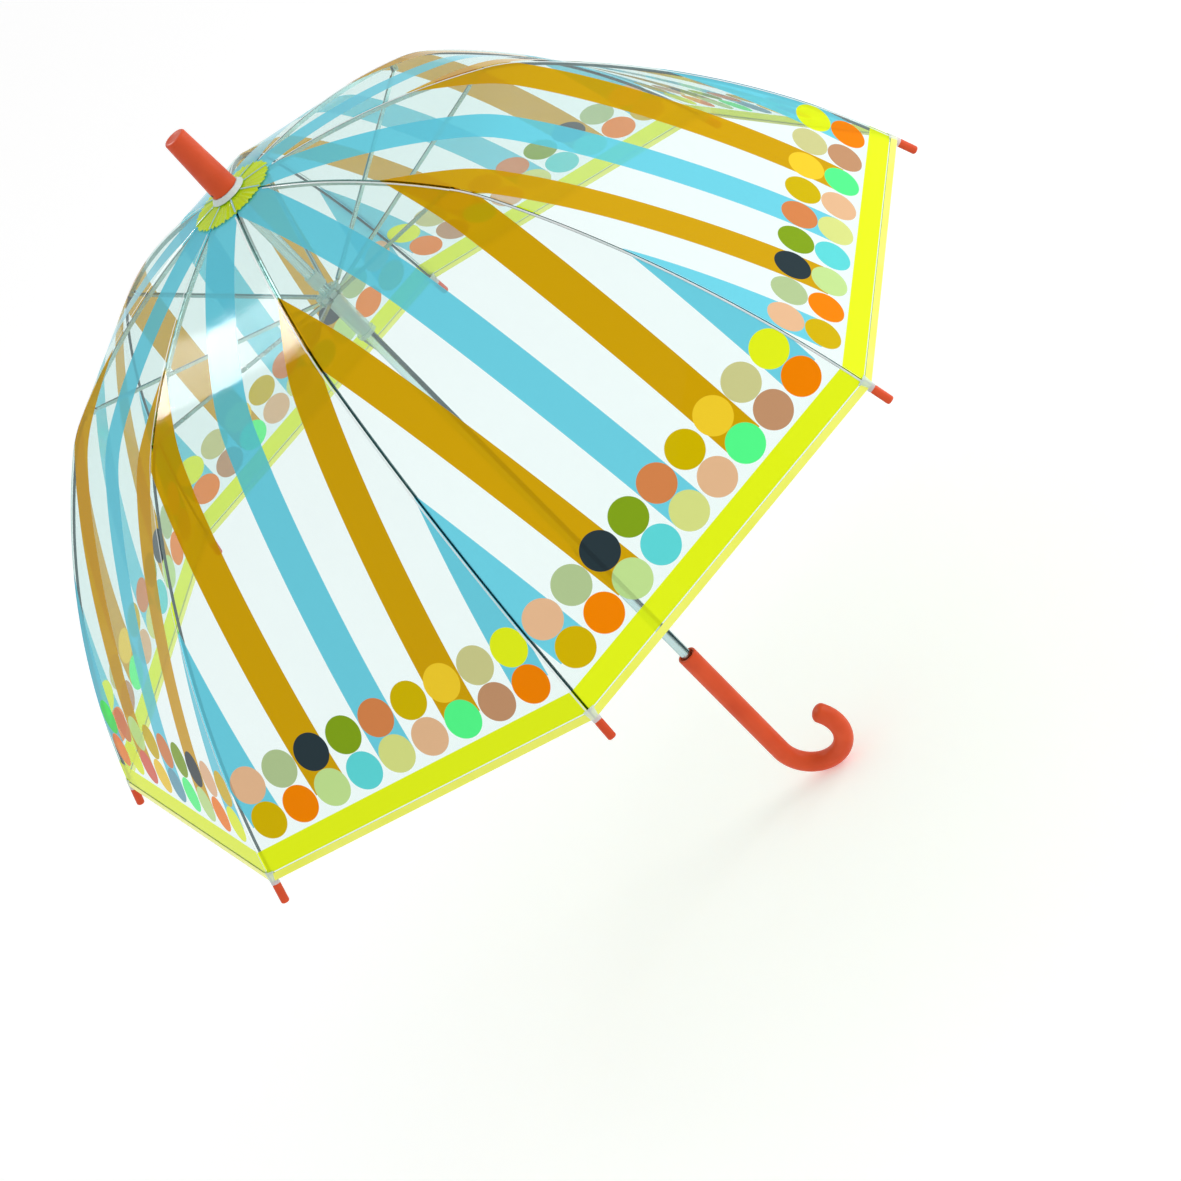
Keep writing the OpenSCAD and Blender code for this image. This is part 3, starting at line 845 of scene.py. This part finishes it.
rosette, _ = shaped_grid("rosette_film", ROSETTE_ROWS, TEETH * 4, rosette_rule, rosette_film)
start_fresh()
rosette.select_set(True)
bpy.context.view_layer.objects.active = rosette
bpy.ops.object.mode_set(mode="EDIT")
bpy.ops.mesh.select_all(action="SELECT")
bpy.ops.mesh.remove_doubles(threshold=MERGE)
bpy.ops.object.mode_set(mode="OBJECT")
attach(rosette, "root")
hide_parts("rosette")
print("rosette faces:", len(rosette.data.polygons))

# %% [markdown]
# ## Welds over the rosette
# The weld of each rib runs on over the rosette, and looks pale blue on the lime. A colour in
# the rosette's material would be flat, so each weld is a thin ribbon with a round back, lifted
# just clear of the pleats.

# %% Welds over the rosette
WELD_FROM = 13.0 * MM
WELD_TO = ROSETTE_RADIUS - 0.8 * MM
WELD_WIDTH = 1.3 * MM
WELD_RISE = 0.25 * MM
WELD_LIFT = ROSETTE_LIFT + 1.8 * PLEAT_RISE


def weld_rule(number):
    """The rule that lays a ribbon over the rosette, above rib number."""
    def rule(row, column):
        reach = WELD_FROM + (WELD_TO - WELD_FROM) * row
        _, height, _ = canopy_line(reach - START_RADIUS)
        lift = WELD_LIFT + WELD_RISE * math.sin(math.pi * column)
        return turned(Vector((reach, (column - 0.5) * WELD_WIDTH, height + lift)), (number - 0.5) * PITCH)
    return rule


for i in range(1, RIBS + 1):
    weld, _ = shaped_grid(f"rosette_weld_{i}", 8, 6, weld_rule(i), rosette_weld)
    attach(weld, "root")
print("welds over the rosette:", RIBS)

# %% [markdown]
# ## Turned shapes
# The washer, the ferrule and the rib caps are all round about one axis. A lathe profile could
# be spun, but growing the piece ring by ring shows more: the top loop is extruded, raised and
# resized for every step of the profile, just as a thrower pulls up a pot.

# %% Ring by ring
def grow_rings(name, profile, segments, closed_ends=True):
    """Grow a round piece up the Z axis. The profile is a list of (radius, height)."""
    start_fresh()
    radius, height = profile[0]
    bpy.ops.mesh.primitive_circle_add(vertices=segments, radius=radius, location=(0, 0, height))
    piece = bpy.context.object
    piece.name = piece.data.name = name
    bpy.ops.object.mode_set(mode="EDIT")
    if closed_ends:
        bpy.ops.mesh.edge_face_add()
        bpy.ops.mesh.select_mode(type="EDGE")
        bpy.ops.mesh.select_all(action="SELECT")
    bpy.context.scene.tool_settings.transform_pivot_point = "MEDIAN_POINT"
    for step_radius, step_height in profile[1:]:
        bpy.ops.mesh.extrude_edges_move(TRANSFORM_OT_translate={"value": (0, 0, step_height - height)})
        share = step_radius / radius
        bpy.ops.transform.resize(value=(share, share, 1))
        radius, height = step_radius, step_height
    if closed_ends:
        bpy.ops.mesh.edge_face_add()
    bpy.ops.mesh.select_all(action="SELECT")
    bpy.ops.mesh.normals_make_consistent(inside=False)
    bpy.ops.object.mode_set(mode="OBJECT")
    piece.data.transform(piece.matrix_world)
    piece.matrix_world = Matrix.Identity(4)
    return piece


def smooth(piece, angle=35):
    """Shade a piece smooth, except across sharp edges."""
    start_fresh()
    piece.select_set(True)
    bpy.context.view_layer.objects.active = piece
    bpy.ops.object.shade_smooth_by_angle(angle=math.radians(angle))


def finish_with(piece, material, body, slot, *nodes):
    """Give a rigid piece its material, its body and the nodes that it stands for. The slot is not used."""
    piece.data.materials.clear()
    piece.data.materials.append(material)
    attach(piece, body)
    if nodes:
        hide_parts(*nodes)
    return piece


def arc(centre_radius, centre_height, size, start, end, steps):
    """Points of a round edge, for a profile."""
    angles = [math.radians(start + (end - start) * k / steps) for k in range(steps + 1)]
    return [(centre_radius + size * math.cos(a), centre_height + size * math.sin(a)) for a in angles]


print("a quarter round in", len(arc(0, 0, 1, 0, 90, 5)), "points")

# %% [markdown]
# ## Ferrule
# The ferrule is a slightly tapered cap with round edges, a shallow dimple in its top and a
# steel pin near its foot that holds it on the shaft. The cap is one profile, and the pin is a
# short cylinder pushed in from the side.

# %% Ferrule
FERRULE_TOP = 8.2 * MM
TOP_ROUND = 2.0 * MM
FOOT_ROUND = 0.8 * MM
ferrule_low, ferrule_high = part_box("ferrule")
base_radius = ferrule_high.x
base_z, top_z = ferrule_low.z, ferrule_high.z
ferrule_profile = ([(base_radius - 2.2 * MM, base_z + 0.5 * MM), (base_radius - 1.6 * MM, base_z)]
                   + arc(base_radius - FOOT_ROUND, base_z + FOOT_ROUND, FOOT_ROUND, -90, 0, 5)
                   + [(base_radius - 0.02 * MM, base_z + 1.6 * MM),
                      (base_radius - 0.15 * MM, base_z + 4 * MM),
                      (FERRULE_TOP + 0.05 * MM, top_z - 3.5 * MM)]
                   + arc(FERRULE_TOP - TOP_ROUND, top_z - TOP_ROUND, TOP_ROUND, 0, 90, 9)
                   + [(FERRULE_TOP - 3.2 * MM, top_z - 0.05 * MM),
                      (FERRULE_TOP - 3.6 * MM, top_z - 0.3 * MM),
                      (1.0 * MM, top_z - 0.35 * MM)])
ferrule = grow_rings("ferrule_cap", ferrule_profile, 72)
smooth(ferrule)
finish_with(ferrule, orange, "root", "orange_moulding", "ferrule")
print("ferrule", round((top_z - base_z) * 1000, 1), "mm long")

# %% Ferrule pin
PIN_TURN = math.radians(232)
PIN_RADIUS = 1.0 * MM
PIN_PLACE = (base_radius - 0.95 * MM, 0, base_z + 3.4 * MM)

start_fresh()
bpy.ops.mesh.primitive_cylinder_add(vertices=20, radius=PIN_RADIUS, depth=2 * PIN_RADIUS)
pin = bpy.context.object
pin.name = pin.data.name = "ferrule_pin"
pin.data.transform(Matrix.Rotation(PIN_TURN, 4, "Z") @ Matrix.Translation(PIN_PLACE) @
                   Matrix.Rotation(math.pi / 2, 4, "Y"))
smooth(pin)
finish_with(pin, wire_metal, "root", "spring_steel")
print("pin across", round(2 * PIN_RADIUS * 1000, 1), "mm")

# %% [markdown]
# ## Washer
# Under the ferrule lies a clear ring with a sloping side, cut in flats that catch the light.
# A round profile with few segments and a small smoothing angle keeps those flats sharp.

# %% Washer
FACETS = 16
FACET_ANGLE = 12
washer_low, washer_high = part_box("washer")
rim_radius = washer_high.x
washer_profile = [(rim_radius - 8 * MM, washer_low.z), (rim_radius - 0.3 * MM, washer_low.z),
                  (rim_radius, washer_low.z + 0.3 * MM), (base_radius + 1.2 * MM, washer_high.z - 0.7 * MM),
                  (base_radius + 0.7 * MM, washer_high.z), (base_radius - 4 * MM, washer_high.z)]
washer = grow_rings("washer_ring", washer_profile, FACETS)
smooth(washer, FACET_ANGLE)
finish_with(washer, washer_clear, "root", "washer_plastic", "washer")
print("washer across", round(2 * rim_radius * 1000, 1), "mm")

# %% [markdown]
# ## Crook handle
# The handle is a moulded tube with a round rim, a socket for the shaft, and a crook. The
# straight grip is grown ring by ring, as the ferrule was. It starts deep in the socket, comes
# up over the rim and goes down the outside, and its lower end stays open for the crook.

# %% Grip
HANDLE_RADIUS = 7.35 * MM
SOCKET_RADIUS = 5.4 * MM
LIP_ROUND = 1.0 * MM
GRIP_STEP = 12 * MM
handle_low, handle_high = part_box("handle")
grip_top = handle_high.z
grip_bottom = -grip_top
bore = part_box("shaft")[1].x + 0.02 * MM
grip_profile = ([(bore, grip_top - 9 * MM), (bore, grip_top - 2.6 * MM),
                 (SOCKET_RADIUS - 0.3 * MM, grip_top - 2.4 * MM), (SOCKET_RADIUS, grip_top - LIP_ROUND)]
                + arc(HANDLE_RADIUS - LIP_ROUND, grip_top - LIP_ROUND, LIP_ROUND, 175, 0, 10)
                + [(HANDLE_RADIUS, grip_top - k * GRIP_STEP) for k in range(1, 9)]
                + [(HANDLE_RADIUS, grip_bottom)])
handle = grow_rings("crook_handle", grip_profile, 48, closed_ends=False)
print("grip", round((grip_top - grip_bottom) * 1000, 1), "mm long")

# %% [markdown]
# ## The crook
# The crook could be a curve with a round bevel, but then it would be a second piece. A spin
# keeps the handle whole: the grip's last ring is selected by its height and spun about a
# centre beside it, and the end is domed by extruding the ring and shrinking it as it moves on.

# %% Crook
CROOK_RADIUS = (handle_high.x - HANDLE_RADIUS) / 2
CROOK_TURN = math.radians(215)
CROOK_STEPS = 56
DOME = 0.72
DOME_STEPS = 8
DOME_END = math.radians(86)
SAME = 0.01 * MM

start_fresh()
handle.select_set(True)
bpy.context.view_layer.objects.active = handle
bpy.ops.object.mode_set(mode="EDIT")
bpy.ops.mesh.select_all(action="DESELECT")
bpy.ops.object.mode_set(mode="OBJECT")
for vertex in handle.data.vertices:
    vertex.select = abs(vertex.co.z - grip_bottom) < SAME
for edge in handle.data.edges:
    edge.select = all(handle.data.vertices[v].select for v in edge.vertices)
bpy.ops.object.mode_set(mode="EDIT")
bpy.ops.mesh.spin(steps=CROOK_STEPS, angle=CROOK_TURN, center=(CROOK_RADIUS, 0, grip_bottom), axis=(0, 1, 0))
heading = Vector((math.sin(CROOK_TURN), 0, -math.cos(CROOK_TURN)))
previous = 0.0
for k in range(1, DOME_STEPS + 1):
    angle = DOME_END * k / DOME_STEPS
    push = heading * HANDLE_RADIUS * DOME * (math.sin(angle) - math.sin(previous))
    bpy.ops.mesh.extrude_edges_move(TRANSFORM_OT_translate={"value": tuple(push)})
    share = math.cos(angle) / math.cos(previous)
    bpy.ops.transform.resize(value=(share, share, share))
    previous = angle
bpy.ops.mesh.edge_face_add()
bpy.ops.mesh.select_all(action="SELECT")
bpy.ops.mesh.remove_doubles(threshold=SAME)
bpy.ops.mesh.normals_make_consistent(inside=False)
bpy.ops.object.mode_set(mode="OBJECT")
smooth(handle, 40)
finish_with(handle, orange, "root", "orange_moulding", "handle")
lowest = min(vertex.co.z for vertex in handle.data.vertices)
print("handle lowest", round(lowest * 1000, 1), "mm, in the frame", round(handle_low.z * 1000, 1))

# %% [markdown]
# ## Rib caps and corner pockets
# Each rib ends in a small orange cap, and the film's corner has a clear pocket welded on it
# that the cap holds. One cap and one pocket are modelled lying along a straight line, and the
# eight copies are turned into place along the end of their ribs. The pocket is grown round
# and then pressed flat towards its open end, where it follows the film.

# %% Cap and pocket models
CAP_LENGTH = 16 * MM
CAP_RADIUS = 2.9 * MM
CAP_ROUND = 1.5 * MM
CAP_SEGMENTS = 28
POCKET_LENGTH = 7.5 * MM
POCKET_FLAT = 0.52
POCKET_SHIFT = 0.6 * MM
cap_profile = ([(1.1 * MM, 0.25 * MM), (CAP_RADIUS - 0.75 * MM, 0.0), (CAP_RADIUS - 0.4 * MM, 0.12 * MM),
                (CAP_RADIUS - 0.28 * MM, 0.9 * MM), (CAP_RADIUS - 0.05 * MM, 2.6 * MM),
                (CAP_RADIUS, 3.4 * MM), (CAP_RADIUS, 8 * MM)]
               + arc(CAP_RADIUS - CAP_ROUND, CAP_LENGTH - CAP_ROUND, CAP_ROUND, 0, 88, 8))
cap_model = grow_rings("cap_model", cap_profile, CAP_SEGMENTS)
pocket_profile = [(4.0 * MM, -POCKET_LENGTH), (4.1 * MM, -7.1 * MM), (3.8 * MM, -5 * MM),
                  (3.4 * MM, -2.5 * MM), (3.1 * MM, -0.6 * MM), (3.02 * MM, 0.8 * MM),
                  (3.0 * MM, 1.6 * MM), (2.92 * MM, 1.9 * MM)]
pocket_model = grow_rings("pocket_model", pocket_profile, CAP_SEGMENTS, closed_ends=False)
for vertex in pocket_model.data.vertices:
    flatness = min(1.0, max(0.0, -vertex.co.z / POCKET_LENGTH))
    vertex.co.x = vertex.co.x * (1 - POCKET_FLAT * flatness) - POCKET_SHIFT * flatness
print("cap", round(CAP_LENGTH * 1000, 1), "mm, pocket", round(POCKET_LENGTH * 1000, 1), "mm long")

# %% Caps and pockets
CAP_GAP = 0.4 * MM
ROD_DEPTH = 2.0 * MM


def rib_end(number):
    """Where a cap starts on its rib, and which way it points."""
    radius, height, slope = canopy_line(RIM + CAP_GAP)
    place = Vector((radius - ROD_DEPTH * math.sin(slope), 0, height - ROD_DEPTH * math.cos(slope)))
    tilt = Matrix.Rotation(math.pi / 2 + slope, 4, "Y")
    return Matrix.Rotation((number - 0.5) * PITCH, 4, "Z") @ Matrix.Translation(place) @ tilt


def copy_of(model, name, matrix):
    """A copy with its own mesh, placed by a matrix."""
    piece = bpy.data.objects.new(name, model.data.copy())
    piece.data.name = name
    scene.collection.objects.link(piece)
    piece.data.transform(matrix)
    return piece


for i in range(1, RIBS + 1):
    cap = copy_of(cap_model, f"rib_cap_{i}", rib_end(i))
    smooth(cap)
    finish_with(cap, orange, f"rib_lower_{i}", "orange_moulding", f"rib_tip_{i}")
    pocket = copy_of(pocket_model, f"corner_pocket_{i}", rib_end(i))
    smooth(pocket, 60)
    finish_with(pocket, pocket_film, f"rib_lower_{i}", "printed_film")
for model in (cap_model, pocket_model):
    bpy.data.objects.remove(model)
print("caps and pockets:", RIBS)

# %% [markdown]
# ## Last step
# The view layer is brought up to date, so every piece stands where its body puts it. The
# looks may not make the object bigger.

# %% Finish
bpy.context.view_layer.update()
